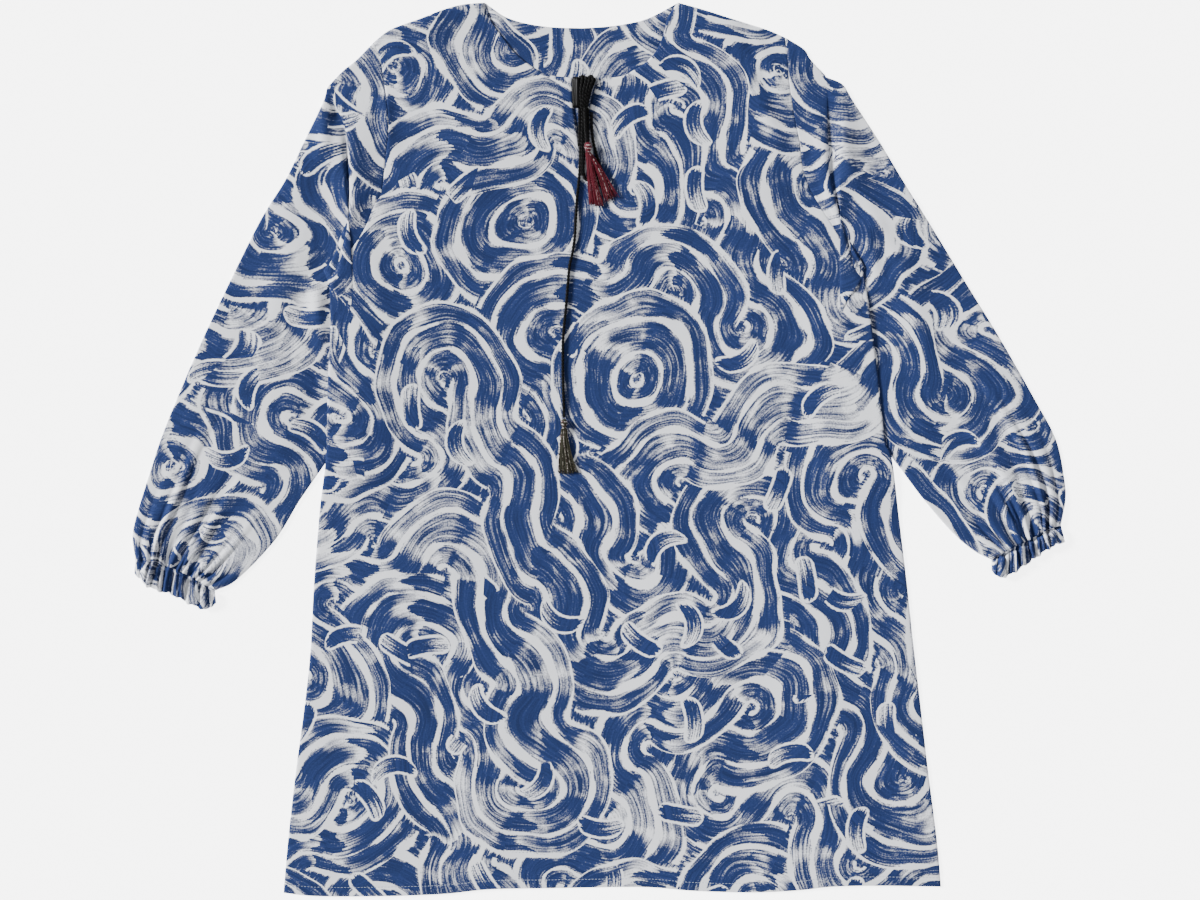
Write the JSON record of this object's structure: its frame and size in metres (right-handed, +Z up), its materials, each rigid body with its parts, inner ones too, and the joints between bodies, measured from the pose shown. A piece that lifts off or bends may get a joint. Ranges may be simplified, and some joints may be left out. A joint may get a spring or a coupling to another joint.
{
  "type": "tunic top",
  "caption": "Long-sleeved tunic top of brush-printed cloth, laid flat: scooped neck with a centre slit and a tasselled cord tie, elastic cuffs and a straight hem.",
  "frame": {"origin": "middle of the bounding box, on the surface that the tunic lies on", "axes": "+X to the viewer's right across both sleeves, +Y from the hem to the neck, +Z up off the surface"},
  "size_m": [0.8915, 0.8546, 0.0118],
  "materials": {
    "printed_cloth": "matte woven cloth with a blue brush-stroke print on off-white",
    "tie_cord": "black two-ply twisted cord",
    "maroon_thread": "maroon yarn with pale metallic threads",
    "olive_thread": "olive-grey yarn with pale metallic threads"
  },
  "bodies": {
    "root": {"back": "printed_cloth", "front": "printed_cloth", "sleeve_left": "printed_cloth", "sleeve_right": "printed_cloth", "cuff_left": "printed_cloth", "cuff_right": "printed_cloth", "tie_knot": "tie_cord", "tie_end_long": "tie_cord", "tie_end_short": "tie_cord", "tie_loop_left": "tie_cord", "tie_loop_right": "tie_cord", "tassel_maroon": "maroon_thread", "tassel_olive": "olive_thread"}
  },
  "joints": []
}
